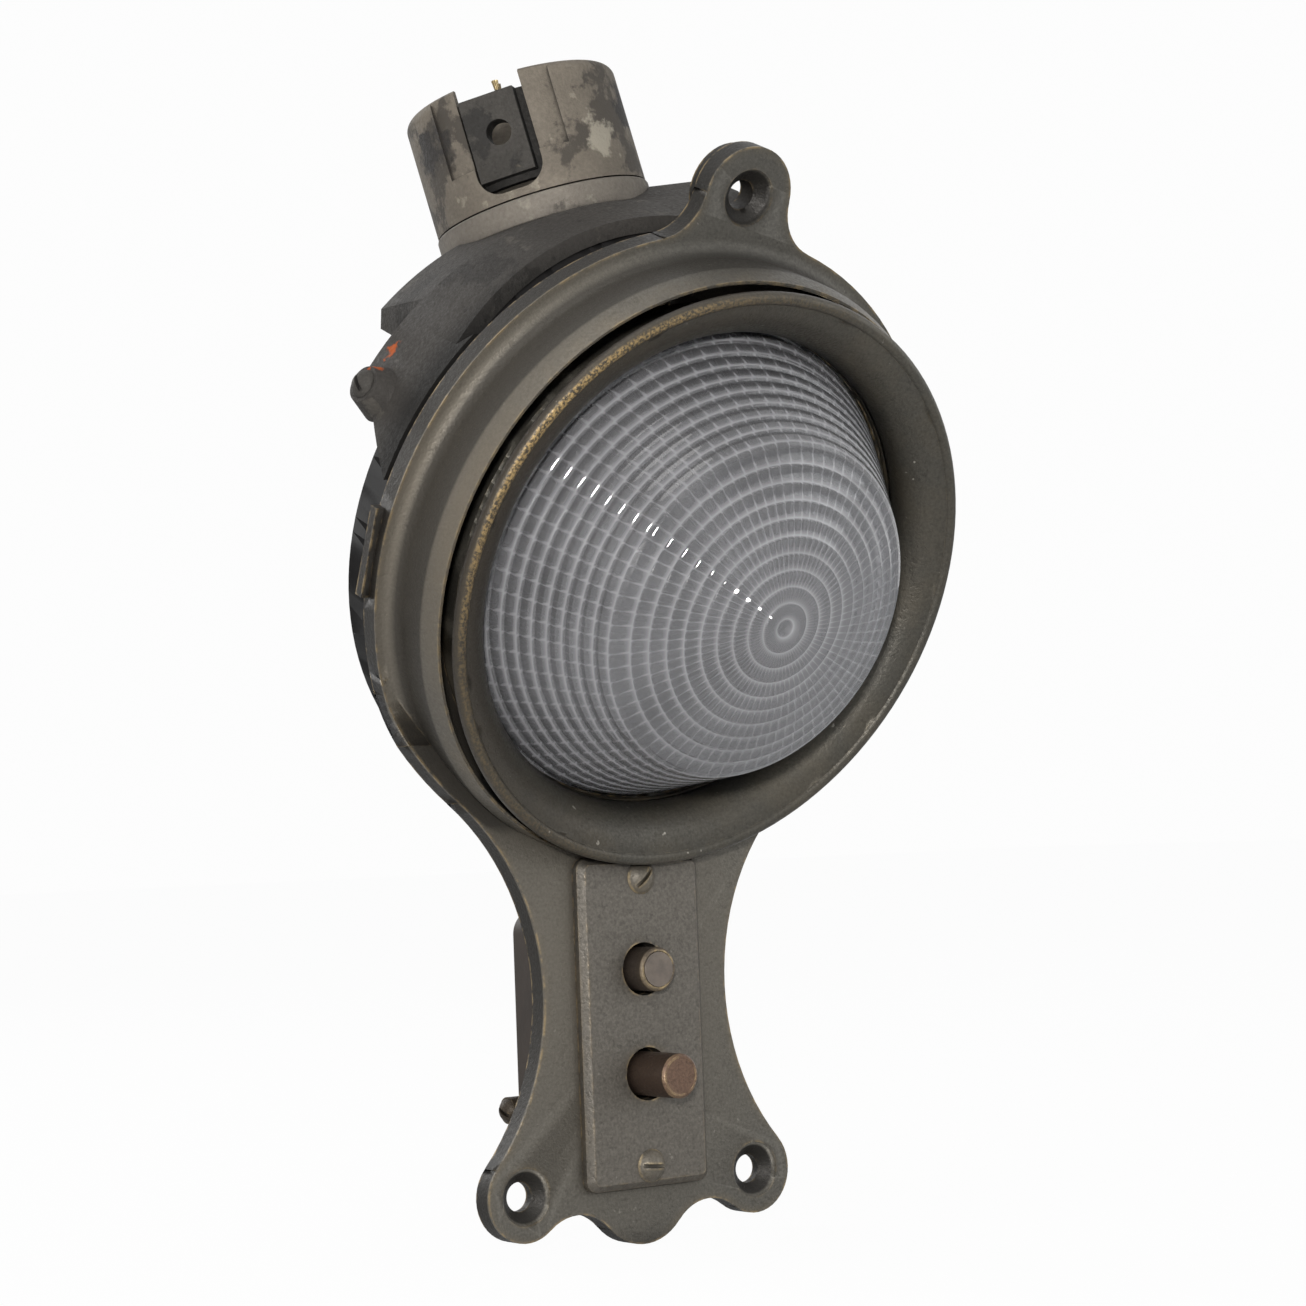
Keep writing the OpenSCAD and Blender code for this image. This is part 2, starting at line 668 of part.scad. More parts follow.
module switch_strap() color(iron) on_panel() translate([0, 0, -strap_t - gap]) difference() {
    linear_extrude(strap_t) strap_outline();
    for (side = [-1, 1]) {
        translate([0, switch_s + side * button_gap / 2, -eps]) cylinder(r = button_r + 1.1, h = 2 * strap_t);
        translate([0, switch_s + side * cover_screw_gap / 2, -eps]) cylinder(r = 1.9 + run, h = 2 * strap_t);
    }
    translate([0, 0, -eps]) strap_screw_places() cylinder(r = 1.6, h = 2 * strap_t);
}

module strap_screws() color(brass) on_panel() strap_screw_places()
    translate([0, 0, -gap - 8 + 0.02]) cylinder(r = 1.4, h = 8);

module body_outline(inset) {
    offset_r = 6 - inset;
    for (x = [-1, 1]) for (y = [-1, 1])
        translate([x * (body_w / 2 - 6), switch_s + y * (body_l / 2 - 6)]) circle(r = offset_r);
    translate([-body_w / 2 + 6, switch_s - body_l / 2 + inset]) square([body_w - 12, body_l - 2 * inset]);
    translate([-body_w / 2 + inset, switch_s - body_l / 2 + 6]) square([body_w - 2 * inset, body_l - 12]);
}

cavity_w = 2 * stem_collar_r + 2;
module switch_body() color(dark) on_panel() difference() {
    translate([0, 0, -body_d]) linear_extrude(body_d - guide_y) body_outline(0);
    translate([-cavity_w / 2, switch_s - body_l / 2 + 2, -cavity_y - cavity_d])
        cube([cavity_w, body_l - 4, cavity_d]);
    translate([0, 0, -body_d - eps]) linear_extrude(body_d - cavity_y - cavity_d + 2 * eps)
        body_outline(3);
    for (side = [-1, 1]) {
        translate([0, switch_s + side * button_gap / 2, -cavity_y - eps])
            cylinder(r = button_r + run, h = guide_t + 2 * eps);
    }
    strap_screw_places() translate([0, 0, -10]) cylinder(r = 1.4 + run, h = 10);
    translate([-cavity_w / 2 - 2, switch_s, -rocker_y]) rotate([0, 90, 0])
        cylinder(r = 1.5 + run, h = cavity_w + 4);
}

module switch_back() color(japan) on_panel() difference() {
    translate([0, 0, -body_d]) linear_extrude(2) body_outline(3 + gap);
    for (x = [-10, 10]) translate([x, switch_s, -body_d - eps]) cylinder(r = 2.5, h = 3);
}

module rocker_pin() color(brass) on_panel()
    translate([-cavity_w / 2 - 1.8, switch_s, -rocker_y]) rotate([0, 90, 0])
        cylinder(r = 1.5, h = cavity_w + 3.6);

// The rocker leans by half its swing at rest, with its lower arm forward
module switch_rocker() color(copper) on_panel() translate([0, switch_s, -rocker_y])
    rotate([-rocker_swing, 0, 0]) difference() {
        union() {
            translate([-3.5, -rocker_arm, -rocker_t / 2]) cube([7, 2 * rocker_arm, rocker_t]);
            for (side = [-1, 1]) translate([-3.5, side * rocker_arm, 0]) rotate([0, 90, 0])
                cylinder(r = rocker_t / 2, h = 7);
            translate([-4.5, 0, 0]) rotate([0, 90, 0]) cylinder(r = 4, h = 9);
        }
        translate([-5, 0, 0]) rotate([0, 90, 0]) cylinder(r = 1.5 + run, h = 10);
    }

module switch_contacts() color(brass) on_panel()
    for (side = [-1, 1]) for (x = [-1, 1])
        translate([x * (cavity_w / 2 - 0.7) - 0.6, switch_s + side * 9 - 3, -cavity_y - cavity_d + gap])
            cube([1.2, 6, 4]);

// A terminal is a post with a screw on the side of the body
module switch_terminals() color(brass) on_panel() mirrored()
    translate([body_w / 2 + 0.02, switch_s - terminal_drop, -body_d + 3.6]) rotate([0, 90, 0]) {
        cylinder(r = 3.4, h = terminal_l);
        translate([0, 0, terminal_l]) slotted_screw(3, 2, 1.4, 0.5, 30);
    }

// LAMP CAN
can_screw_angles = [35, 145, 215, 325];

module can_gasket() color(japan) on_disc() difference() {
    tube(can_r, neck_bore_r + 1, rear_z - gap - gasket_t, rear_z - gap);
    for (a = can_screw_angles) rotate([0, 0, a]) translate([screw_ring_r, 0, rear_z - 5])
        cylinder(r = 1.9, h = 5);
}

module can_profile(inset) {
    polygon([[0, can_end + inset], [cup_r - inset, can_end + inset], [cup_r - inset, cup_front],
             [can_r - inset, can_wall_end + inset / 2], [can_r - inset, can_front - (inset > 0 ? can_t : 0)],
             [0, can_front - (inset > 0 ? can_t : 0)]]);
}

// The can has two small bosses for the screws of the housing's side lugs
module lamp_can() color(japan) on_disc() difference() {
    union() {
        rotate_extrude() can_profile(0);
        on_housing() for (x = [-1, 1]) housing_screw_place(x)
            translate([0, 0, -lug_h - hood_t - gap - 16]) cylinder(r = 4.2, h = 16 - gap);
    }
    rotate_extrude() can_profile(can_t);
    translate([0, 0, can_front - can_t - eps]) cylinder(r = neck_bore_r + 1, h = can_t + 2 * eps);
    for (a = can_screw_angles) rotate([0, 0, a]) translate([screw_ring_r, 0, can_front - can_t - eps])
        cylinder(r = 1.9, h = can_t + 2 * eps);
    on_housing() for (x = [-1, 1]) housing_screw_place(x)
        translate([0, 0, -lug_h - hood_t - 20]) cylinder(r = 1.5 + run, h = 21);
    on_hub() translate([0, 0, -60]) cylinder(r = wire_way_r - 5, h = 60);
}

module can_screws() color(brass) on_disc()
    for (a = can_screw_angles) rotate([0, 0, a])
        translate([screw_ring_r, 0, can_front - can_t - 0.02]) mirror([0, 0, 1])
            slotted_screw(3, 2, 1.6, -can_front + can_t + rear_z + 3.5, 40);

reflector_mouth = rear_z - gap - 4;
module reflector() color("#d8d4c6") on_disc() rotate_extrude() {
    rear = cup_front + 12;
    polygon([[socket_r + gap, rear], [socket_r + gap, rear - 1.2], [socket_r + 4, rear - 1.2],
             [lens_r * 0.82, reflector_mouth - 16], [lens_seat_r, reflector_mouth - 1.2],
             [lens_seat_r, reflector_mouth], [lens_seat_r - 1.2, reflector_mouth],
             [lens_r * 0.82 - 1.4, reflector_mouth - 15], [socket_r + 3.4, rear]]);
}

socket_top = cup_front + 15;
module lamp_socket() color("#cfc8b8") on_disc() difference() {
    union() {
        translate([0, 0, can_end + can_t + 0.02]) cylinder(r = socket_r, h = socket_top - can_end - can_t - 0.02);
        translate([0, 0, can_end + can_t + 0.02]) cylinder(r = cup_r - can_t - gap, h = 6);
    }
    translate([0, 0, can_end + can_t + 4]) cylinder(r = 14.4, h = 80);
}

module socket_shell() color(brass) on_disc()
    tube(14.4 - run, 13.8, can_end + can_t + 4.5, socket_top - 1);

module socket_contact() color(brass) on_disc() {
    translate([0, 0, can_end + can_t + 4 + 0.02]) cylinder(r = 5, h = 0.8);
    translate([0, 0, can_end + can_t + 4.5]) cylinder(r = 2, h = 1.5);
}

cap_foot = can_end + can_t + 6.3;
cap_top = socket_top + 3;
module bulb_cap() color(brass) on_disc() {
    translate([0, 0, cap_foot + 3]) cylinder(r = 13.3, h = cap_top - cap_foot - 3);
    translate([0, 0, cap_foot]) cylinder(r1 = 4, r2 = 9, h = 3 + eps);
}

module bulb_glass() color(glass, 0.4) on_disc() {
    ball_z = cap_top + bulb_r + 9;
    translate([0, 0, ball_z]) sphere(r = bulb_r);
    throat = sqrt(bulb_r ^ 2 - 11 ^ 2);
    translate([0, 0, cap_top + 0.02]) cylinder(r = 11, h = ball_z - throat - cap_top + 1);
}

// REAR HOUSING, in the frame of the housing
module housing_screw_place(side) {
    mirror([side < 0 ? 1 : 0, 0, 0]) rotate([0, 0, lug_up]) translate([hood_r + lug_h, 0, lug_z])
        rotate([0, 90, 0]) children();
}

// A prism across the housing, drawn as height above the lens axis and place along it
module across(points) {
    translate([-2 * hood_r, 0, 0]) rotate([90, 0, 90]) linear_extrude(4 * hood_r) polygon(points);
}

// What is cut away below the hood's sloping edges and below the box
module under_hood() {
    run_out = (hood_d + 2) / tan(hood_slope);
    across([[hood_low, 2 * box_end], [hood_low, hood_end], [hood_low - run_out, hood_end + hood_d + 2],
            [-2 * hood_r, hood_end + hood_d + 2], [-2 * hood_r, 2 * box_end]]);
}

// The window between the hood's front edge and the can
module hood_window() {
    far = 2 * hood_r;
    across([[window_foot, window_z], [window_foot + 4, hood_front + 1], [far, hood_front + 1],
            [far, window_z - (far - window_foot) * tan(window_lean)]]);
}

// The fairing rises from the hood's back to the foot of the hub's collar
module fairing() {
    edge = window_z - (hood_r - window_foot) * tan(window_lean);
    hull() {
        on_hub() translate([0, 0, collar_foot - 3]) cylinder(r = hub_r - 0.5, h = 3 + fairing_bite, $fn = 48);
        on_housing() intersection() {
            translate([0, 0, hood_end + fairing_bite])
                cylinder(r = hood_r - fairing_bite, h = edge - hood_end - 2 * fairing_bite);
            translate([-hood_r, window_foot + fairing_bite, hood_end]) cube([2 * hood_r, hood_r, hood_d]);
        }
        on_housing() translate([hub_r / 2, window_foot, hood_end - box_d / 2])
            cube([shoulder_w, shoulder_up - window_foot, box_d / 2]);
    }
}

module hood_shell() {
    difference() {
        union() {
            translate([0, 0, hood_end]) cylinder(r = hood_r, h = hood_front - hood_end);
            intersection() {
                translate([0, 0, box_end])
                    cylinder(r1 = hood_r - box_taper, r2 = hood_r - fairing_bite, h = box_d + fairing_bite);
                translate([-box_w / 2, 0, box_end]) cube([box_w, hood_r, box_d + fairing_bite]);
            }
        }
        under_hood();
        hood_window();
    }
}

module rear_housing() color(iron) on_disc() difference() {
    union() {
        on_housing() hood_shell();
        fairing();
        on_hub() translate([0, 0, collar_foot - 40]) cylinder(r = hub_r - 3, h = 39);
        on_housing() for (x = [-1, 1]) housing_screw_place(x)
            mirror([0, 0, 1]) cylinder(r1 = 4.5, r2 = 7, h = lug_h + 2);
    }
    rotate_extrude() can_room();
    on_housing() {
        for (x = [-1, 1]) housing_screw_place(x) translate([0, 0, -lug_h - 8]) cylinder(r = 1.9, h = lug_h + 9);
        intersection() {
            translate([0, 0, box_end + box_t])
                cylinder(r1 = hood_r - box_taper - box_t, r2 = hood_r - box_t, h = box_d);
            translate([-box_w / 2 + box_t, hood_low + box_t, box_end]) cube([box_w - 2 * box_t, hood_r, 2 * box_d]);
        }
    }
    on_hub() {
        translate([0, 0, -70]) cylinder(r = wire_way_r, h = 71);
        translate([0, 0, collar_foot]) cylinder(r = hub_collar_r + gap, h = 2 * hub_l);
    }
}

// The room for the can, with its clearance
function can_cone(z) =
    can_r + gap - (can_wall_end - gap - z) * (can_r - cup_r) / (can_wall_end - cup_front);
module can_room() {
    polygon([[0, can_end - gap], [cup_r + gap, can_end - gap], [cup_r + gap, cup_front - gap],
             [can_cone(hood_back), hood_back], [can_r + gap, hood_back], [can_r + gap, hood_r], [0, hood_r]]);
}

module housing_screws() color(brass) on_disc() on_housing()
    for (x = [-1, 1]) housing_screw_place(x) translate([0, 0, 0.02])
        slotted_screw(3.6, 2.4, 1.5, lug_h + hood_t + 8, 35);

module hub_collar() color(iron) on_disc() on_hub()
    tube(hub_collar_r, wire_way_r, -hub_collar_l, -gap);

module slot_outline() {
    foot = hub_l - slot_l;
    side = slot_w / 2 - slot_corner_r;
    for (x = [-1, 1]) translate([x * side, foot + slot_corner_r]) circle(r = slot_corner_r);
    translate([-slot_w / 2, foot + slot_corner_r]) square([slot_w, slot_l]);
    translate([-side, foot]) square([2 * side, slot_l]);
}

// The hub is a thick tube with a slot for the clamp shoe and a pocket behind the slot
hub_round = 3;
pocket_w = 28;
pocket_t = 3;
conduit_seat = 4;
module conduit_hub() color(iron) on_disc() on_hub() difference() {
    union() {
        cylinder(r = hub_r, h = hub_l - hub_round);
        translate([0, 0, hub_l - hub_round]) rotate_extrude() intersection() {
            translate([hub_r - hub_round, 0]) circle(r = hub_round);
            translate([hub_r - hub_round, 0]) square([hub_round, hub_round]);
        }
        translate([0, 0, hub_l - hub_round]) cylinder(r = hub_r - hub_round, h = hub_round);
    }
    translate([0, 0, conduit_seat]) cylinder(r = conduit_r, h = hub_l);
    translate([0, 0, -eps]) cylinder(r = wire_way_r, h = hub_l);
    rotate([90, 0, 0]) linear_extrude(hub_r + 1) slot_outline();
    intersection() {
        translate([0, 0, conduit_seat]) cylinder(r = conduit_r + pocket_t, h = hub_l);
        translate([-pocket_w / 2, -hub_r, conduit_seat]) cube([pocket_w, hub_r, hub_l]);
    }
    intersection() {
        tube(hub_r + 1, hub_r - relief_d, hub_l - relief_l, hub_l + 1);
        translate([-relief_w / 2, -hub_r - 1, 0]) cube([relief_w, hub_r, hub_l + 1]);
    }
}

// The shoe fills the pocket and stands out through the slot, close to its left side
shoe_top = hub_l - 4;
shoe_face = hub_r - 1.2;
module clamp_shoe() color(dark) on_disc() on_hub() difference() {
    union() {
        intersection() {
            tube(conduit_r + pocket_t - gap / 2, conduit_r + run, conduit_seat + gap, shoe_top);
            translate([-pocket_w / 2 + gap, -hub_r, 0]) cube([pocket_w - 2 * gap, hub_r, hub_l]);
        }
        intersection() {
            foot = hub_l - slot_l + slot_corner_r - 2;
            translate([-slot_w / 2 + 0.6, -shoe_face, foot]) cube([slot_w - 2.8, 6, shoe_top - foot]);
            tube(hub_r, conduit_r + 1, 0, hub_l);
        }
    }
    translate([0, 0, hub_l - tap_drop]) rotate([90, 0, 0]) cylinder(r = tap_r, h = hub_r + 1);
}

// Cut ends of the old wires, left standing on the shoe
module wire_stubs() color("#c9a86a") on_disc() on_hub()
    for (x = [-1, 1]) translate([x * 2.4 + 2, -conduit_r - pocket_t / 2, shoe_top + 0.02])
        cylinder(r = 1.1, h = 3.2);

face_flange();
bezel_ring();
lens();
lens_gasket();
lens_retaining_ring();
cover_plate();
cover_screws();
upper_button();
button_inlay();
lower_button();
switch_strap();
strap_screws();
switch_body();
switch_back();
rocker_pin();
switch_rocker();
switch_contacts();
switch_terminals();
can_gasket();
lamp_can();
can_screws();
reflector();
lamp_socket();
socket_shell();
socket_contact();
bulb_cap();
bulb_glass();
rear_housing();
housing_screws();
hub_collar();
conduit_hub();
clamp_shoe();
wire_stubs();
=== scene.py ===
from math import atan2, cos, radians, sin
import bpy
from mathutils import Matrix, Vector


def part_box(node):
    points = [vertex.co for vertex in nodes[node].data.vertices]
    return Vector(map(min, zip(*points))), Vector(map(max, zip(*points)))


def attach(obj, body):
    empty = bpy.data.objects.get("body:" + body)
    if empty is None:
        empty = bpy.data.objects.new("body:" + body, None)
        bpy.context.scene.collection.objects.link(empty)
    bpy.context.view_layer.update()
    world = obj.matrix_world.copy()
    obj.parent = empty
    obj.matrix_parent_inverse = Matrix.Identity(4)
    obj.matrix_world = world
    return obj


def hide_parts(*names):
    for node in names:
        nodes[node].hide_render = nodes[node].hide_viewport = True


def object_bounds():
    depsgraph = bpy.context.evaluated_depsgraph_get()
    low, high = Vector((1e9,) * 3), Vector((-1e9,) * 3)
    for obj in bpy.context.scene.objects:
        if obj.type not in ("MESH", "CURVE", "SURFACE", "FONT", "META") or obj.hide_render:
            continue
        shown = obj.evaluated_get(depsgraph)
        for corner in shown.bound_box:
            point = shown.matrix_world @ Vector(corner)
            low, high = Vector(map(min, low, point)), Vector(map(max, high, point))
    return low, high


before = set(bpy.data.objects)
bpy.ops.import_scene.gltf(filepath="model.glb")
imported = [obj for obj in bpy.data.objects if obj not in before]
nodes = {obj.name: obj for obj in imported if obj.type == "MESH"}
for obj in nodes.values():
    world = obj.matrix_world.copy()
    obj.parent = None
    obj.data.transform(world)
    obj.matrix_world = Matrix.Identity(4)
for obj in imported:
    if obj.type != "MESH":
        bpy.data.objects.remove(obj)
cad_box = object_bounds()

# CAMERA
# The lamp is seen from its left front, a little from below, as in the photograph.
# The place and the three directions come from the lamp's own screw holes and rims.
camera = bpy.data.cameras.new("camera")
camera.sensor_width = 36
camera.lens = 83.33
camera.clip_end = 20
camera_object = bpy.data.objects.new("camera", camera)
bpy.context.scene.collection.objects.link(camera_object)
look_right = Vector((0.79891, -0.60028, -0.03746)).normalized()
look_back = Vector((-0.60143, -0.79688, -0.05716)).normalized()
look_up = look_back.cross(look_right)
look = Matrix((look_right, look_up, look_back)).transposed().to_4x4()
look.translation = Vector((-0.4520, -0.6164, 0.0887))
camera_object.matrix_world = look
bpy.context.scene.camera = camera_object
bpy.context.scene.view_settings.view_transform = "Standard"

# STUDIO FLOOR
# A pale matt floor just under the lamp. The camera sees most of it as plain white, and the
# rest keeps the lamp's faint shadow.
floor_gap = 0.0002
floor_share_white = 0.965
bpy.ops.object.select_all(action="DESELECT")
bpy.ops.mesh.primitive_plane_add(size=12, location=(0, 0, cad_box[0][2] - floor_gap))
floor = bpy.context.object
floor.name = "studio_floor"
floor_paint = bpy.data.materials.new("floor_paint")
floor_paint.use_nodes = True
tree = floor_paint.node_tree
tree.nodes.clear()
floor_out = tree.nodes.new("ShaderNodeOutputMaterial")
floor_mix = tree.nodes.new("ShaderNodeMixShader")
floor_matt = tree.nodes.new("ShaderNodeBsdfDiffuse")
floor_white = tree.nodes.new("ShaderNodeEmission")
floor_rays = tree.nodes.new("ShaderNodeLightPath")
seen = tree.nodes.new("ShaderNodeMath")
seen.operation = "MULTIPLY"
seen.inputs[1].default_value = floor_share_white
floor_matt.inputs["Color"].default_value = (0.9, 0.9, 0.9, 1)
floor_white.inputs["Color"].default_value = (1, 1, 1, 1)
floor_white.inputs["Strength"].default_value = 1.0
tree.links.new(floor_rays.outputs["Is Camera Ray"], seen.inputs[0])
tree.links.new(seen.outputs[0], floor_mix.inputs[0])
tree.links.new(floor_matt.outputs[0], floor_mix.inputs[1])
tree.links.new(floor_white.outputs[0], floor_mix.inputs[2])
tree.links.new(floor_mix.outputs[0], floor_out.inputs[0])
floor.data.materials.append(floor_paint)

# STUDIO ROOM
# The room gives a soft, slightly cool light from all round. What the camera, polished metal
# and glass see of it is white, so that it meets the floor without an edge.
room = bpy.data.worlds.new("room")
room.use_nodes = True
bpy.context.scene.world = room
tree = room.node_tree
tree.nodes.clear()
room_out = tree.nodes.new("ShaderNodeOutputWorld")
room_mix = tree.nodes.new("ShaderNodeMixShader")
room_dim = tree.nodes.new("ShaderNodeBackground")
room_white = tree.nodes.new("ShaderNodeBackground")
room_rays = tree.nodes.new("ShaderNodeLightPath")
room_dim.inputs["Color"].default_value = (0.9, 0.95, 1, 1)
room_dim.inputs["Strength"].default_value = 0.24
room_white.inputs["Color"].default_value = (1, 1, 1, 1)
room_white.inputs["Strength"].default_value = 0.98
camera_or_glass = tree.nodes.new("ShaderNodeMath")
camera_or_glass.operation = "MAXIMUM"
any_of_three = tree.nodes.new("ShaderNodeMath")
any_of_three.operation = "MAXIMUM"
tree.links.new(room_rays.outputs["Is Camera Ray"], camera_or_glass.inputs[0])
tree.links.new(room_rays.outputs["Is Transmission Ray"], camera_or_glass.inputs[1])
tree.links.new(camera_or_glass.outputs[0], any_of_three.inputs[0])
tree.links.new(room_rays.outputs["Is Glossy Ray"], any_of_three.inputs[1])
tree.links.new(any_of_three.outputs[0], room_mix.inputs[0])
tree.links.new(room_dim.outputs[0], room_mix.inputs[1])
tree.links.new(room_white.outputs[0], room_mix.inputs[2])
tree.links.new(room_mix.outputs[0], room_out.inputs[0])

# STUDIO LAMPS
# Four round lamps: a small one close to the camera gives the row of glints on the lens, and
# three broad ones light the top, the right side and the back.
lamp_middle = (0, 0, 0.14)
warm_white = (1, 0.98, 0.95)
cool_white = (0.95, 0.98, 1)


def soft_lamp(name, place, target, size, power, colour):
    light = bpy.data.lights.new(name, "AREA")
    light.shape = "DISK"
    light.size = size
    light.energy = power
    light.color = colour
    holder = bpy.data.objects.new(name, light)
    bpy.context.scene.collection.objects.link(holder)
    aim = Vector(place) - Vector(target)
    turned = aim.to_track_quat("Z", "Y").to_matrix().to_4x4()
    holder.matrix_world = Matrix.Translation(place) @ turned


soft_lamp("key_lamp", (-0.66, -0.86, 0.22), lamp_middle, 0.08, 9, warm_white)
soft_lamp("top_lamp", (-0.5, -0.3, 1.1), lamp_middle, 0.7, 3, warm_white)
soft_lamp("fill_lamp", (1.0, -0.9, 0.4), lamp_middle, 0.9, 2.5, cool_white)
soft_lamp("back_lamp", (-0.3, 1.0, 0.7), (0, 0, 0.2), 0.7, 4, (1, 1, 1))

# FACE FLANGE
# One bronze casting: the round part with its collar, the ear, the neck and the two lobes.
# Its brown patina is finely speckled, and thin gold lines show where edges have rubbed bare.
lens_axis = (0, -0.9033, -0.4289)  # out of the round part, towards the viewer
flange_face = -0.0457  # where the round part's front face lies along it, in metres
disc_centre = (0, -0.02336, 0.15574)
to_the_back = (0, 1, 0)


class Value:
    """The output of a node, which Python's operators turn into further nodes."""

    def __init__(self, finish, socket):
        self.finish = finish
        self.socket = socket

    def math(self, operation, first, second=0.0):
        return self.finish.node("ShaderNodeMath", {"operation": operation},
                                {0: first, 1: second})

    def __add__(self, other):
        return self.math("ADD", self, other)

    def __radd__(self, other):
        return self.math("ADD", other, self)

    def __sub__(self, other):
        return self.math("SUBTRACT", self, other)

    def __rsub__(self, other):
        return self.math("SUBTRACT", other, self)

    def __mul__(self, other):
        return self.math("MULTIPLY", self, other)

    def __rmul__(self, other):
        return self.math("MULTIPLY", other, self)

    def power(self, other):
        return self.math("POWER", self, other)


class Finish:
    """A material on the principled shader. Its node method adds any other node."""

    def __init__(self, name, **constants):
        self.material = bpy.data.materials.new(name)
        self.material.use_nodes = True
        self.tree = self.material.node_tree
        self.shader = self.tree.nodes["Principled BSDF"]
        for socket, value in constants.items():
            self.shader.inputs[socket.replace("_", " ")].default_value = value

    def node(self, kind, settings, values, out=0):
        made = self.tree.nodes.new(kind)
        for key, value in settings.items():
            if key == "stops":
                ramp = made.color_ramp.elements
                while len(ramp) < len(value):
                    ramp.new(1.0)
                for stop, (place, colour) in zip(ramp, value):
                    stop.position = place
                    stop.color = (*colour, 1)
            else:
                setattr(made, key, value)
        for key, value in values.items():
            socket = made.inputs[key]
            if isinstance(value, Value):
                self.tree.links.new(value.socket, socket)
            elif socket.type == "RGBA":
                socket.default_value = (*value, 1)
            else:
                socket.default_value = value
        return Value(self, made.outputs[out])

    def place(self, kind="Object"):
        """Where a point lies in the lamp's frame, or which way the surface faces there."""
        return self.node("ShaderNodeTexCoord", {}, {}, kind)

    def noise(self, scale, detail=4.0, roughness=0.55, shift=(0, 0, 0)):
        moved = self.node("ShaderNodeMapping", {}, {"Vector": self.place(), "Location": shift})
        return self.node("ShaderNodeTexNoise", {}, {"Vector": moved, "Scale": scale,
                                                    "Detail": detail, "Roughness": roughness})

    def step(self, value, low, high):
        """0 at low, 1 at high and even between them."""
        return self.node("ShaderNodeMapRange", {},
                         {"Value": value, "From Min": low, "From Max": high})

    def mix(self, share, first, second):
        return self.node("ShaderNodeMix", {"data_type": "RGBA"},
                         {0: share, 6: first, 7: second}, 2)

    def ramp(self, value, *stops):
        return self.node("ShaderNodeValToRGB", {"stops": stops}, {0: value})

    def near(self, centre, reach, full=0):
        """1 within full of a point, falling to 0 at a distance of reach from it."""
        away = self.node("ShaderNodeVectorMath", {"operation": "DISTANCE"},
                         {0: self.place(), 1: centre}, "Value")
        return self.step(away, reach, full)

    def along(self, axis, low, high, kind="Object"):
        """0 to 1 between two places along a direction."""
        reached = self.node("ShaderNodeVectorMath", {"operation": "DOT_PRODUCT"},
                            {0: self.place(kind), 1: axis}, "Value")
        return self.step(reached, low, high)

    def risen(self, low, high):
        """0 to 1 between two heights above the flange's face, along the lens axis."""
        return self.along(lens_axis, flange_face + low, flange_face + high)

    def turned_from(self, axis, low, high):
        """0 to 1 as the surface turns away from a direction, between two cosines."""
        return self.along(axis, low, high, "Normal")

    def edges(self, reach):
        """1 on outward edges, which are open on two sides, and 0 on flat faces."""
        flat, sharp = 0.93, 0.62
        solid = self.node("ShaderNodeAmbientOcclusion", {"inside": True, "samples": 6},
                          {"Distance": reach}, "AO")
        return self.step(solid, flat, sharp)

    def hollows(self, reach):
        """1 deep in corners and grooves, and 0 on open faces."""
        open_face, deep = 0.86, 0.42
        sky = self.node("ShaderNodeAmbientOcclusion", {"samples": 6}, {"Distance": reach}, "AO")
        return self.step(sky, open_face, deep)

    def relief(self, height, strength, distance):
        return self.node("ShaderNodeBump", {}, {"Height": height, "Strength": strength,
                                                "Distance": distance})

    def set(self, **links):
        for socket, value in links.items():
            self.tree.links.new(value.socket, self.shader.inputs[socket.replace("_", " ")])
        return self.material


def shade(tone, factor):
    return tuple(channel * factor for channel in tone)


def patina(name, tone, worn=(0.36, 0.27, 0.15), wear=1.0, rough=0.5, specks=0.35, marks=None):
    """Aged bronze: one even tone with soft clouds and a fine grain, pale specks, grime and
    painted shade in the hollows, a warm rub near the edges and thin bright lines on the edges
    themselves. A piece's own marks, with any painted light, are laid over the grime and shade."""
    dust_colour = (0.34, 0.32, 0.28)
    bronze = Finish(name, Specular_IOR_Level=0.35)
    clouds = bronze.step(bronze.noise(26, detail=5), 0.3, 0.7)
    grain = bronze.step(bronze.noise(1300, detail=3, roughness=0.65), 0.32, 0.68)
    pits = bronze.step(bronze.noise(640, detail=2, roughness=0.5, shift=(5, 5, 1)), 0.60, 0.68)
    dust = bronze.step(bronze.noise(420, detail=2, roughness=0.5, shift=(3, 1, 2)), 0.735, 0.77)
    rub = bronze.step(bronze.noise(55, detail=5, roughness=0.6, shift=(1, 4, 2)), 0.42, 0.66)
    scuffs = bronze.step(bronze.noise(300, detail=4, roughness=0.6), 0.44, 0.62)
    warm = bronze.edges(0.0025) * rub * (0.25 * wear)
    bright = bronze.edges(0.0007) * scuffs * (0.8 * wear)
    body = bronze.mix(clouds, shade(tone, 0.86), shade(tone, 1.1))
    body = bronze.mix(grain * 0.5, shade(tone, 1.35), body)
    body = bronze.mix(grain * 0.4, body, shade(tone, 0.5))
    body = bronze.mix(pits * 0.3, body, shade(tone, 0.45))
    body = bronze.mix(dust * specks, body, dust_colour)
    # Grime and painted shade: darker deep in corners and grooves.
    body = bronze.mix(bronze.hollows(0.008) * 0.85, body, shade(tone, 0.2))
    body = bronze.mix(warm, body, shade(worn, 0.6))
    if marks:
        body = marks(bronze, body)
    body = bronze.mix(bright, body, worn)
    return bronze.set(Base_Color=body, Metallic=bright * 0.4 + 0.4,
                      Roughness=grain * 0.16 + (rough - 0.08) - bright * 0.15,
                      Normal=bronze.relief(grain + clouds - pits, 0.2, 0.0003))


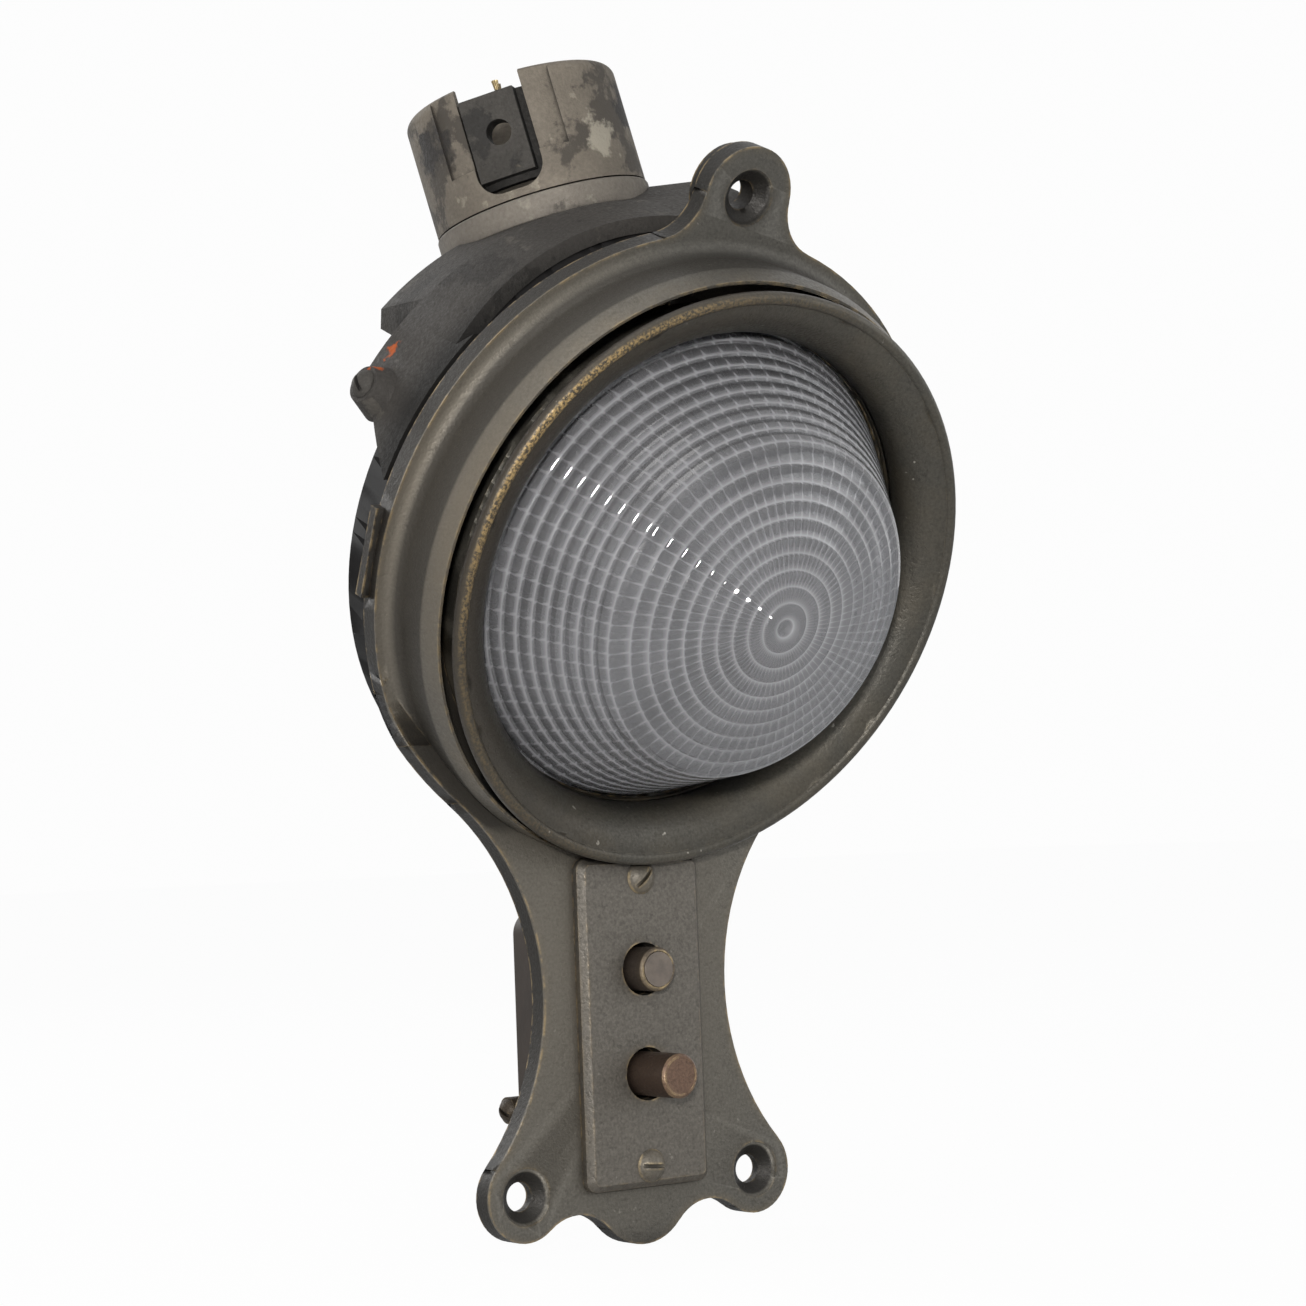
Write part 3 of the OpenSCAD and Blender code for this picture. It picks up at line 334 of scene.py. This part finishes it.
def softened(name, material, width, body):
    """A closed copy of a node with its edges rounded, which stands for that node. With a
    width of 0 its edges stay as they are."""
    weld, flat, sharp, smooth = 0.00001, 0.002, 0.6, 0.62
    piece = nodes[name].copy()
    piece.data = nodes[name].data.copy()
    piece.name = name + "_finished"
    piece.parent = None
    bpy.context.scene.collection.objects.link(piece)
    bpy.ops.object.select_all(action="DESELECT")
    bpy.context.view_layer.objects.active = piece
    piece.select_set(True)
    bpy.ops.object.mode_set(mode="EDIT")
    bpy.ops.mesh.select_all(action="SELECT")
    bpy.ops.mesh.remove_doubles(threshold=weld)
    if width:
        bpy.ops.mesh.dissolve_limited(angle_limit=flat)
    bpy.ops.object.mode_set(mode="OBJECT")
    bpy.ops.object.shade_smooth_by_angle(angle=smooth)
    if width:
        bevel = piece.modifiers.new("round_edges", "BEVEL")
        bevel.width = width
        bevel.segments = 2
        bevel.limit_method = "ANGLE"
        bevel.angle_limit = sharp
        bevel.miter_outer = "MITER_ARC"
        bevel.harden_normals = True
        bpy.ops.object.modifier_apply(modifier=bevel.name)
    piece.data.materials.clear()
    piece.data.materials.append(material)
    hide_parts(name)
    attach(piece, body)
    return piece


def flange_marks_and_painted_light(bronze, body):
    """Painted light makes the left rim and the neck a lighter brown, and the ear is dull. Painted
    shade darkens the hollow side of the collar, and the flange's sides and back are darker
    than its face."""
    left_rim, neck_middle = (-0.078, -0.036, 0.165), (-0.012, -0.0055, 0.055)
    ear_hole = (0, -0.0637, 0.2406)
    # Painted light: the left rim and the middle of the neck are made a lighter brown.
    left = bronze.near(left_rim, 0.085).power(0.7)
    neck = bronze.near(neck_middle, 0.07).power(0.7)
    body = bronze.mix(left * 0.75 + neck * 0.5, body, (0.150, 0.130, 0.102))
    # Painted shade on the hollow side of the collar.
    side = bronze.risen(0.0004, 0.0017) * (1 - bronze.risen(0.0119, 0.0129))
    collar = bronze.near(disc_centre, 0.0812, 0.0803)
    body = bronze.mix(side * collar * 0.8, body, (0.030, 0.027, 0.023))
    ear = bronze.near(ear_hole, 0.04).power(0.6)
    body = bronze.mix(ear * 0.45, body, (0.045, 0.043, 0.038))
    behind = (1 - bronze.risen(-0.0006, -0.0002)) + bronze.along(to_the_back, -0.0050, -0.0046)
    return bronze.mix(behind * 0.9, body, (0.016, 0.0145, 0.013))


flange_bronze = patina("flange_bronze", (0.092, 0.086, 0.074), marks=flange_marks_and_painted_light)
flange = softened("face_flange", flange_bronze, 0.0005, "lamp")


# BEZEL
# A turned bronze ring with a horn-shaped flare, darker than the flange, held in its collar
# by a bayonet. The crest of its rolled lip is rubbed to gold on the left, where a painted
# highlight lies on it too.
def bezel_marks_and_painted_light(bronze, body):
    """Painted shade on the lip's outer side, brown on the lip, and gold on its crest: worn metal
    with a painted highlight on the left.
    """
    lip_left, lip_below = (-0.055, -0.052, 0.185), (-0.060, -0.050, 0.160)
    # Painted shade on the lip's outer side, under the lip.
    outside = bronze.turned_from(lens_axis, 0.45, -0.05) * bronze.risen(0.0182, 0.0195)
    body = bronze.mix(outside * 0.9, body, (0.012, 0.011, 0.010))
    crest = bronze.risen(0.0238, 0.0243)
    glints = bronze.step(bronze.noise(1500, detail=3, roughness=0.6), 0.42, 0.60)
    left = bronze.near(lip_left, 0.06)
    around_left = bronze.near(lip_below, 0.10).power(0.5)
    lip = bronze.risen(0.0195, 0.0217)
    body = bronze.mix(lip * around_left * 0.7, body, (0.034, 0.026, 0.018))
    # Worn gold on the crest, with a painted highlight on the left.
    gold = crest * glints * (left * 0.8 + around_left * 0.2)
    return bronze.mix(gold, body, (0.48, 0.33, 0.14))


bezel_bronze = patina("bezel_bronze", (0.060, 0.056, 0.047), worn=(0.42, 0.30, 0.14), wear=0.5,
                      rough=0.42, specks=0.8, marks=bezel_marks_and_painted_light)
bezel = softened("bezel_ring", bezel_bronze, 0, "bezel")

# LENS
# Clear pressed glass with a stepped wall and a ringed dome, held in the bezel by its foot.
# Long flutes run down the inside, and painted highlights draw them and the steps as thin
# pale lines. The rings below are radii and heights in millimetres, from the inside round the
# foot to the tip.
mm = 0.001
flutes = 72
around = flutes * 6
lens_tilt = 25.4
seat = (Matrix.Translation((0, -0.02335813, 0.15574279))
        @ Matrix.Rotation(radians(90 + lens_tilt), 4, "X"))
wall_steps, wall_r, wall_foot, wall_in, wall_rise = 9, 60.2, 9.5, 18.2, 31
dome_rings, dome_r, dome_top, dome_rise = 10, 42, 51, 10.5
dome_pitch = 10.6
inside_dome, inside_fade = 6, 3
wall_flute, dome_flute, dome_steepness = 0.0009, 0.0008, 0.25
step_line, flute_line = 1.0, 0.8


def wall_ring(share):
    return (wall_r - wall_in * share, wall_foot + wall_rise * share)


def dome_ring(radius):
    return (radius, dome_top - dome_rise * (radius / dome_r) ** 2)


inner = [(0.5, 45.6), (8, 45.4), (15, 44.7), (21, 43.4), (27, 41.8), (33, 39.6), (38, 36.5)]
inner += [(38 + 18.2 * part / 8, 36.5 - 29.5 * part / 8) for part in range(1, 9)] + [(56.2, 4)]
outer = [(63.6, 4), (63.6, 7), (60.4, 7.0)]
ridge_rings = []
for step in range(wall_steps):
    foot, head = wall_ring(step / wall_steps), wall_ring((step + 1) / wall_steps)
    outer += [foot, (foot[0] - 0.1, foot[1] + 1.4), (head[0] + 0.75, head[1] - 0.35), head]
    ridge_rings.append(len(outer) - 2)
for step in range(dome_rings):
    foot, head = dome_r * (1 - step / dome_pitch), dome_r * (1 - (step + 1) / dome_pitch)
    outer += [(foot - 0.5, dome_ring(foot)[1] + 0.5), (foot - 1.6, dome_ring(foot)[1] + 0.62),
              dome_ring(head)]
    ridge_rings.append(len(outer) - 1)
outer += [(1.6, 50.7), (0.8, 50.3)]
rings = inner + outer
bpy.ops.object.select_all(action="DESELECT")
bpy.ops.mesh.primitive_circle_add(vertices=around, radius=rings[0][0] * mm, location=(0, 0, 0))
lens = bpy.context.object
lens.name = "lens_pressed"
lens.data.transform(Matrix.Translation((0, 0, rings[0][1] * mm)))
bpy.ops.object.mode_set(mode="EDIT")
bpy.ops.mesh.select_all(action="SELECT")
for (radius, height), (next_radius, next_height) in zip(rings, rings[1:]):
    rise, widening = (next_height - height) * mm, next_radius / radius
    bpy.ops.mesh.extrude_region_move(TRANSFORM_OT_translate={"value": (0, 0, rise)})
    bpy.ops.transform.resize(value=(widening, widening, 1), center_override=(0, 0, 0))
bpy.ops.object.mode_set(mode="OBJECT")
ridge = lens.data.attributes.new("ridge", "FLOAT", "POINT")
for number, point in enumerate(lens.data.vertices):
    ring = number // around
    turn = atan2(point.co.y, point.co.x)
    bar = abs(cos(turn * flutes / 2)) ** 1.5
    if 0 < ring < len(inner) - 1:
        share = min(1, ring / inside_fade)
        steep = 1 if ring > inside_dome else dome_steepness
        reach = point.co.xy.length
        point.co.xy *= 1 - wall_flute * share * bar * steep / reach
        point.co.z -= dome_flute * share * bar * (1 - steep)
    on_step = (ring - len(inner)) in ridge_rings
    ridge.data[number].value = step_line if on_step else flute_line * bar ** 8
bpy.ops.object.mode_set(mode="EDIT")
bpy.ops.mesh.select_all(action="DESELECT")
bpy.ops.mesh.select_non_manifold(extend=False)
bpy.ops.mesh.edge_face_add()
bpy.ops.mesh.select_all(action="SELECT")
bpy.ops.mesh.normals_make_consistent(inside=False)
bpy.ops.object.mode_set(mode="OBJECT")
lens.data.transform(seat)
bpy.ops.object.shade_smooth_by_angle(angle=0.63)
lens_glass = Finish("lens_glass", Roughness=0.04, IOR=1.5, Transmission_Weight=0.6)
# Painted highlights: the thin pale lines along the steps and the flutes.
line = lens_glass.node("ShaderNodeAttribute", {"attribute_name": "ridge"}, {}, "Fac")
milk = lens_glass.step(lens_glass.noise(60, detail=4), 0.3, 0.7)
# Painted light: cells and lines grow paler towards the right, and painted shade darkens the top.
right = lens_glass.near((0.045, -0.060, 0.135), 0.075)
top = lens_glass.near((0, -0.065, 0.197), 0.045)
cell = lens_glass.mix(milk, (0.215, 0.215, 0.225), (0.30, 0.30, 0.315))
cell = lens_glass.mix(right * 0.7, cell, (0.46, 0.46, 0.48))
cell = lens_glass.mix(top * 0.7, cell, (0.10, 0.10, 0.105))
pale = lens_glass.mix(right, (0.62, 0.62, 0.65), (0.95, 0.95, 0.97))
lens_glass.set(Base_Color=lens_glass.mix(line.power(3.5) * 0.85, cell, pale))
lens.data.materials.append(lens_glass.material)
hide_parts("lens")
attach(lens, "bezel")

# LENS GASKET AND RETAINING RING
# A flat black rubber ring beds the lens's foot, and a ring of olive brass presses it home
# from behind. Both turn with the bezel.
rubber = Finish("rubber", Roughness=0.8, Specular_IOR_Level=0.2)
rubber.set(Base_Color=rubber.ramp(rubber.noise(200, detail=4), (0.3, (0.012, 0.011, 0.010)),
                                  (0.8, (0.03, 0.028, 0.025))))
softened("lens_gasket", rubber.material, 0, "bezel")
olive_brass = patina("olive_brass", (0.115, 0.10, 0.055), worn=(0.4, 0.32, 0.16))
softened("lens_retaining_ring", olive_brass, 0, "bezel")

# COVER PLATE
# A bevelled bronze plate over the switch, paler than the flange. Its two holes let the
# buttons through, and two round-head screws hold it to the neck.
plate_bronze = patina("plate_bronze", (0.108, 0.098, 0.084))
plate = softened("cover_plate", plate_bronze, 0.0003, "lamp")

# SCREWS
# Brass screws, browned like the plate they hold: two slotted round heads on the cover plate,
# four slotted ones inside the can's front and four short plain ones in the switch's strap.
screw_brass = patina("screw_brass", (0.105, 0.096, 0.082), worn=(0.45, 0.35, 0.20), wear=0.8)
for name in ("cover_screws", "can_screws", "strap_screws"):
    softened(name, screw_brass, 0.0002, "lamp")


# PUSH BUTTONS
# Two pins of one switch. The upper one is brass and pushed in. The lower one is bare copper,
# rubbed at its rim, and stands out.
def button_marks(bronze, body):
    """Darker on the sides, which face away from the front."""
    side = bronze.turned_from((0, -1, 0), 0.6, 0.2)
    return bronze.mix(side * 0.75, body, (0.026, 0.019, 0.015))


button_brass = patina("button_brass", (0.082, 0.066, 0.053), worn=(0.5, 0.38, 0.2), wear=1.2,
                      marks=button_marks)
softened("upper_button", button_brass, 0.0002, "upper_button")
button_copper = patina("button_copper", (0.115, 0.070, 0.048), worn=(0.6, 0.45, 0.24),
                       wear=1.5, rough=0.42, marks=button_marks)
softened("lower_button", button_copper, 0.0003, "lower_button")

# BUTTON INLAY
# A greyed disc of mother-of-pearl, set flush in the upper button's face.
# It moves with that button.
pearl = Finish("pearl", Roughness=0.3)
pearl.set(Base_Color=pearl.ramp(pearl.noise(300, detail=5), (0.3, (0.09, 0.073, 0.06)),
                                (0.7, (0.16, 0.13, 0.105))),
          Normal=pearl.relief(pearl.noise(700, detail=3), 0.2, 0.0003))
softened("button_inlay", pearl.material, 0.0001, "upper_button")

# SWITCH BODY AND BACK
# A box and its lid, pressed from dark brown moulding compound, that sit on a strap behind
# the neck.
moulding = Finish("moulding", Roughness=0.5, Specular_IOR_Level=0.35)
moulding.set(Base_Color=moulding.ramp(moulding.noise(60, detail=5), (0.3, (0.022, 0.016, 0.012)),
                                      (0.75, (0.042, 0.031, 0.024))),
             Normal=moulding.relief(moulding.noise(500, detail=3), 0.2, 0.0003))
for name in ("switch_body", "switch_back"):
    softened(name, moulding.material, 0.0004, "lamp")

# BRASS CONTACTS
# Small bright brass pieces out of sight: the switch's contacts and the pin of its rocker,
# the lamp socket's shell and centre contact, and the bulb's cap.
contact_brass = patina("contact_brass", (0.20, 0.15, 0.08), worn=(0.5, 0.4, 0.22))
for name in ("switch_contacts", "rocker_pin", "socket_shell", "socket_contact", "bulb_cap"):
    softened(name, contact_brass, 0, "lamp")

# SWITCH TERMINALS
# Two brass posts with slotted screws, one on each side of the switch body, nearly black with
# age. The left one shows beside the neck.
terminal_brass = patina("terminal_brass", (0.035, 0.027, 0.019), worn=(0.3, 0.22, 0.12), wear=0.4)
softened("switch_terminals", terminal_brass, 0.0002, "lamp")

# SWITCH ROCKER
# A copper lever inside the switch, on a brass pin. It swings as one button goes in and the
# other comes out.
rocker_copper = patina("rocker_copper", (0.25, 0.14, 0.09), worn=(0.6, 0.42, 0.3))
softened("switch_rocker", rocker_copper, 0.0003, "rocker")

# SWITCH STRAP
# A flat strap of dull grey steel behind the neck. It carries the switch body on four screws,
# and the cover plate's screws pass through it.
strap_steel = patina("strap_steel", (0.13, 0.12, 0.11), worn=(0.35, 0.33, 0.30))
softened("switch_strap", strap_steel, 0.0002, "lamp")

# LAMP CAN
# A spun can with worn black enamel, closed against the flange by a rubber gasket and held
# by four screws. A few chips show the brown primer.
japan_black = Finish("japan_black", Roughness=0.65, Specular_IOR_Level=0.12)
chips = japan_black.step(japan_black.noise(90, detail=6), 0.64, 0.67)
japan_black.set(Base_Color=japan_black.mix(chips * 0.4, (0.007, 0.0065, 0.0065),
                                           (0.06, 0.05, 0.04)),
                Normal=japan_black.relief(japan_black.noise(300, detail=4), 0.3, 0.0004))
softened("lamp_can", japan_black.material, 0, "lamp")
softened("can_gasket", rubber.material, 0, "lamp")

# REFLECTOR
# A spun dish of silvered metal inside the can, gone slightly dull. The socket's mouth stands
# in the hole at its middle.
polish = Finish("polish", Metallic=0.7, Roughness=0.45)
polish.set(Base_Color=polish.ramp(polish.noise(40, detail=5), (0.3, (0.42, 0.42, 0.42)),
                                  (0.7, (0.58, 0.58, 0.57))))
softened("reflector", polish.material, 0, "lamp")

# LAMP SOCKET
# Glazed cream porcelain, fixed in the back of the can. Its brass shell and contact are
# among the brass contacts above.
porcelain = Finish("porcelain", Roughness=0.2)
porcelain.set(Base_Color=porcelain.ramp(porcelain.noise(60, detail=4), (0.3, (0.52, 0.48, 0.40)),
                                        (0.7, (0.62, 0.58, 0.50))))
softened("lamp_socket", porcelain.material, 0.0005, "lamp")

# BULB GLASS
# The bulb's blown glass, thin and clear, with a faint film of dust. It stays the CAD's own
# mesh and only takes a new material.
bulb = Finish("bulb", Roughness=0.03, IOR=1.45, Transmission_Weight=1.0)
film = bulb.step(bulb.noise(50, detail=4), 0.3, 0.7)
bulb.set(Base_Color=bulb.mix(film, (0.88, 0.88, 0.86), (0.96, 0.96, 0.95)))
nodes["bulb_glass"].data.materials.clear()
nodes["bulb_glass"].data.materials.append(bulb.material)


# REAR HOUSING
# Cast iron under old paint gone grey and chalky, with dark metal where it has flaked. A
# painted shadow darkens it along the flange, and two drops of orange paint sit on its left side.
def weathered(name, tone, flaked, chalk, flakes=0.5, drops=(), painted_shadow=0):
    """Painted iron. Each drop is a place, a reach, a colour and how ragged its edge is."""
    shadow_colour = (0.008, 0.0075, 0.007)
    flake_from = 0.72 - 0.3 * flakes
    iron = Finish(name, Metallic=0.1, Specular_IOR_Level=0.25)
    clouds = iron.step(iron.noise(34, detail=6, roughness=0.6), 0.3, 0.7)
    grain = iron.step(iron.noise(1100, detail=3, roughness=0.6), 0.3, 0.7)
    flake = iron.step(iron.noise(48, detail=9, roughness=0.66, shift=(2, 5, 1)),
                      flake_from, flake_from + 0.04)
    spot = iron.step(iron.noise(150, detail=6, roughness=0.6, shift=(7, 2, 3)), 0.62, 0.66)
    body = iron.mix(clouds, shade(tone, 0.75), shade(tone, 1.2))
    body = iron.mix(spot * 0.5, body, chalk)
    body = iron.mix(flake * 0.85, body, flaked)
    body = iron.mix(grain * 0.35, body, shade(tone, 0.5))
    # Painted shade: darker in corners and grooves.
    body = iron.mix(iron.hollows(0.006) * 0.8, body, shade(flaked, 0.4))
    for place, reach, colour, rag in drops:
        ragged = iron.near(place, reach) * 0.7 + iron.noise(rag, detail=6, roughness=0.65) * 1.2
        body = iron.mix(iron.step(ragged, 0.92, 1.04), body, colour)
    # Painted shadow: the strip along the flange, which the flange shades, is darkened.
    if painted_shadow:
        body = iron.mix(iron.risen(-0.0183, -0.0108) * painted_shadow, body, shadow_colour)
    return iron.set(Base_Color=body, Roughness=0.6 + grain * 0.2,
                    Normal=iron.relief(clouds + grain * 0.4 - flake * 0.5, 0.4, 0.0006))


orange = (0.36, 0.075, 0.014)
orange_drops = (((-0.0707, -0.0135, 0.2036), 0.0045, orange, 300),
                ((-0.0765, -0.0150, 0.1985), 0.003, orange, 300))
housing_iron = weathered("housing_iron", (0.046, 0.042, 0.038), flaked=(0.022, 0.02, 0.018),
                         chalk=(0.11, 0.10, 0.085), flakes=0.45, drops=orange_drops, painted_shadow=0.85)
softened("rear_housing", housing_iron, 0.0006, "lamp")

# CONDUIT HUB
# The cast socket for the conduit, paler and more flaked than the housing that carries it,
# with two dark bare patches and one of old cream paint beside its slot.
bare_iron = (0.035, 0.032, 0.03)
old_cream = (0.29, 0.265, 0.215)
hub_patches = (((-0.0447, 0.0074, 0.2585), 0.013, bare_iron, 150),
               ((-0.0012, -0.0139, 0.2690), 0.012, bare_iron, 170),
               ((-0.0135, -0.0217, 0.2600), 0.009, old_cream, 190))
hub_iron = weathered("hub_iron", (0.175, 0.152, 0.123), flaked=(0.045, 0.040, 0.035),
                     chalk=(0.32, 0.29, 0.23), flakes=0.66, drops=hub_patches)
softened("conduit_hub", hub_iron, 0.0006, "lamp")

# HUB COLLAR
# The ring at the hub's foot, of the same iron, that joins it to the housing. Its paint is
# pale and less flaked.
collar_iron = weathered("collar_iron", (0.19, 0.17, 0.145), flaked=(0.05, 0.045, 0.04),
                        chalk=(0.30, 0.28, 0.23), flakes=0.4)
softened("hub_collar", collar_iron, 0.0006, "lamp")

# CLAMP SHOE AND HOUSING SCREWS
# A dark iron block in the hub's slot, with a tapped hole for the screw that clamped the
# conduit. The two slotted screws in the housing's side lugs share its dark finish.
shoe_iron = weathered("shoe_iron", (0.052, 0.048, 0.043), flaked=(0.02, 0.019, 0.018),
                      chalk=(0.13, 0.11, 0.08))
softened("clamp_shoe", shoe_iron, 0.0006, "lamp")
softened("housing_screws", shoe_iron, 0.0002, "lamp")

# CUT WIRES
# Two ends of old stranded wire, frayed and dusty, left standing on the clamp shoe. Each has
# six strands spread round a straight one.
wire_brass = patina("wire_brass", (0.30, 0.23, 0.12), worn=(0.5, 0.4, 0.22))
hub_axis = Vector((-0.203, 0.1425, 0.9688))
strands_each, strand_turn = 7, 0.9
strand_r, strand_l, strand_longer, strand_spread = 0.0003, 0.0021, 0.0001, 0.0006
stub_low, stub_high = (Vector(corner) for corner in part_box("wire_stubs"))
strands = []
for wire_place in (0.27, 0.73):
    heart = stub_low.lerp(stub_high, wire_place)
    heart.z = (stub_low.z + stub_high.z) / 2
    for number in range(strands_each):
        turn = number * strand_turn
        spread = strand_spread if number else 0
        lean = Vector((cos(turn), sin(turn), 0)) * spread
        tilt = (hub_axis + lean * 160).to_track_quat("Z", "Y").to_matrix().to_4x4()
        bpy.ops.object.select_all(action="DESELECT")
        bpy.ops.mesh.primitive_cylinder_add(vertices=8, radius=strand_r,
                                            depth=strand_l + strand_longer * number)
        strand = bpy.context.object
        strand.data.transform(Matrix.Translation(heart + lean * 0.8) @ tilt)
        strands.append(strand)
bpy.ops.object.select_all(action="DESELECT")
for strand in strands:
    strand.select_set(True)
bpy.context.view_layer.objects.active = strands[0]
bpy.ops.object.join()
wires = bpy.context.object
wires.name = "wire_ends"
bpy.ops.object.shade_smooth_by_angle(angle=0.9)
wires.data.materials.append(wire_brass)
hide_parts("wire_stubs")
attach(wires, "lamp")
